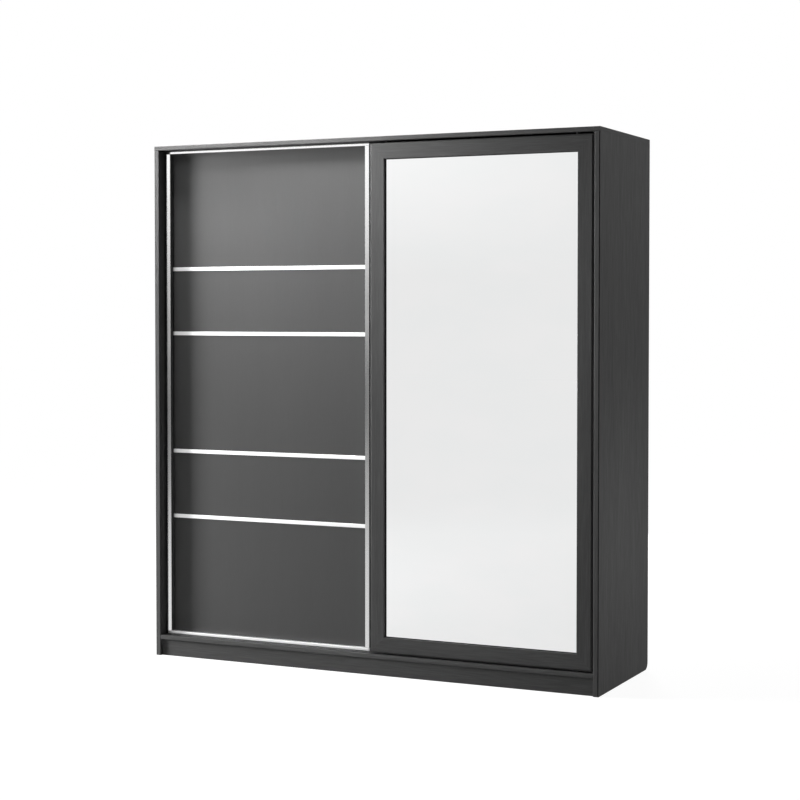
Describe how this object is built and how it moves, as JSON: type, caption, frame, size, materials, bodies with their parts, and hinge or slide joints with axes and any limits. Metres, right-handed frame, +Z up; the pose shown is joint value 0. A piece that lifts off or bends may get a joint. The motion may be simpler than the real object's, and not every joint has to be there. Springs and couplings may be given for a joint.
{
  "type": "sliding door wardrobe",
  "caption": "Free-standing wardrobe with a deeper-set panelled sliding door in a thin metal frame and a front sliding door with a bevelled frame round a mirror.",
  "frame": {"origin": "middle of the footprint on the floor", "axes": "+Z up, -Y out of the doors, +X towards the mirror door's side, which is the viewer's right"},
  "size_m": [2, 0.62, 2.18],
  "materials": {
    "charcoal_board": "charcoal faced board with a fine upright grain, matt",
    "interior_board": "charcoal faced board, matt",
    "door_panel": "dark grey faced board, satin",
    "anodised_aluminium": "bright satin anodised",
    "dark_aluminium": "dark anodised",
    "rail_metal": "plated oval tube, bright",
    "mirror_glass": "clear silvered float glass",
    "roller_nylon": "black moulded nylon",
    "black_plastic": "moulded, fine matt",
    "black_pile": "dense brush pile",
    "hardboard": "thin fibre board, matt"
  },
  "bodies": {
    "carcass": {"side_panel_left": "charcoal_board", "side_panel_right": "charcoal_board", "top_panel": "charcoal_board", "bottom_panel": "charcoal_board", "plinth_front": "charcoal_board", "plinth_rear": "charcoal_board", "plinth_bearer": "charcoal_board", "centre_partition": "interior_board", "shelf_left_1": "interior_board", "shelf_left_2": "interior_board", "shelf_left_3": "interior_board", "shelf_left_4": "interior_board", "shelf_right_top": "interior_board", "hanging_rail": "rail_metal", "rail_socket_left": "black_plastic", "rail_socket_right": "black_plastic", "back_panel_left": "hardboard", "back_panel_right": "hardboard", "back_joint_profile": "black_plastic", "bottom_channel_front": "dark_aluminium", "bottom_channel_rear": "dark_aluminium", "top_channel_front": "dark_aluminium", "top_channel_rear": "dark_aluminium"},
    "left_door": {"left_door_stile_left": "anodised_aluminium", "left_door_stile_right": "anodised_aluminium", "left_door_rail_bottom": "anodised_aluminium", "left_door_rail_top": "anodised_aluminium", "left_door_strip_1": "anodised_aluminium", "left_door_strip_2": "anodised_aluminium", "left_door_strip_3": "anodised_aluminium", "left_door_strip_4": "anodised_aluminium", "left_door_panel_1": "door_panel", "left_door_panel_2": "door_panel", "left_door_panel_3": "door_panel", "left_door_panel_4": "door_panel", "left_door_panel_5": "door_panel", "left_door_interlock": "dark_aluminium", "left_door_brush": "black_pile", "left_door_carriage_1": "black_plastic", "left_door_carriage_2": "black_plastic", "left_door_guide_bracket_1": "black_plastic", "left_door_guide_bracket_2": "black_plastic"},
    "left_roller_1": {"left_door_roller_1": "roller_nylon"},
    "left_roller_2": {"left_door_roller_2": "roller_nylon"},
    "left_guide_roller_1": {"left_door_guide_roller_1": "roller_nylon"},
    "left_guide_roller_2": {"left_door_guide_roller_2": "roller_nylon"},
    "right_door": {"right_door_stile_left": "charcoal_board", "right_door_stile_right": "charcoal_board", "right_door_rail_bottom": "charcoal_board", "right_door_rail_top": "charcoal_board", "right_door_mirror": "mirror_glass", "right_door_backing_board": "hardboard", "right_door_carriage_1": "black_plastic", "right_door_carriage_2": "black_plastic", "right_door_guide_bracket_1": "black_plastic", "right_door_guide_bracket_2": "black_plastic"},
    "right_roller_1": {"right_door_roller_1": "roller_nylon"},
    "right_roller_2": {"right_door_roller_2": "roller_nylon"},
    "right_guide_roller_1": {"right_door_guide_roller_1": "roller_nylon"},
    "right_guide_roller_2": {"right_door_guide_roller_2": "roller_nylon"}
  },
  "joints": [
    {"name": "left_door_slide", "type": "slide", "parent": "carcass", "child": "left_door", "axis": [1, 0, 0], "range_m": [0, 0.92]},
    {"name": "right_door_slide", "type": "slide", "parent": "carcass", "child": "right_door", "axis": [1, 0, 0], "range_m": [-0.99, 0]},
    {"name": "left_roller_1_spin", "type": "hinge", "parent": "left_door", "child": "left_roller_1", "pos_m": [-0.898, -0.2291, 0.0993], "axis": [0, 1, 0], "continuous": true},
    {"name": "left_roller_2_spin", "type": "hinge", "parent": "left_door", "child": "left_roller_2", "pos_m": [-0.07, -0.2291, 0.0993], "axis": [0, 1, 0], "continuous": true},
    {"name": "left_guide_roller_1_spin", "type": "hinge", "parent": "left_door", "child": "left_guide_roller_1", "pos_m": [-0.898, -0.2291, 2.167], "axis": [0, 0, 1], "continuous": true},
    {"name": "left_guide_roller_2_spin", "type": "hinge", "parent": "left_door", "child": "left_guide_roller_2", "pos_m": [-0.07, -0.2291, 2.167], "axis": [0, 0, 1], "continuous": true},
    {"name": "right_roller_1_spin", "type": "hinge", "parent": "right_door", "child": "right_roller_1", "pos_m": [0.091, -0.288, 0.0993], "axis": [0, 1, 0], "continuous": true},
    {"name": "right_roller_2_spin", "type": "hinge", "parent": "right_door", "child": "right_roller_2", "pos_m": [0.902, -0.288, 0.0993], "axis": [0, 1, 0], "continuous": true},
    {"name": "right_guide_roller_1_spin", "type": "hinge", "parent": "right_door", "child": "right_guide_roller_1", "pos_m": [0.091, -0.288, 2.167], "axis": [0, 0, 1], "continuous": true},
    {"name": "right_guide_roller_2_spin", "type": "hinge", "parent": "right_door", "child": "right_guide_roller_2", "pos_m": [0.902, -0.288, 2.167], "axis": [0, 0, 1], "continuous": true}
  ],
  "couplings": [
    {"joint": "left_roller_1_spin", "follows": "left_door_slide", "rad_per_m": 66.667},
    {"joint": "left_roller_2_spin", "follows": "left_door_slide", "rad_per_m": 66.667},
    {"joint": "left_guide_roller_1_spin", "follows": "left_door_slide", "rad_per_m": 161.29},
    {"joint": "left_guide_roller_2_spin", "follows": "left_door_slide", "rad_per_m": 161.29},
    {"joint": "right_roller_1_spin", "follows": "right_door_slide", "rad_per_m": 66.667},
    {"joint": "right_roller_2_spin", "follows": "right_door_slide", "rad_per_m": 66.667},
    {"joint": "right_guide_roller_1_spin", "follows": "right_door_slide", "rad_per_m": 161.29},
    {"joint": "right_guide_roller_2_spin", "follows": "right_door_slide", "rad_per_m": 161.29}
  ]
}
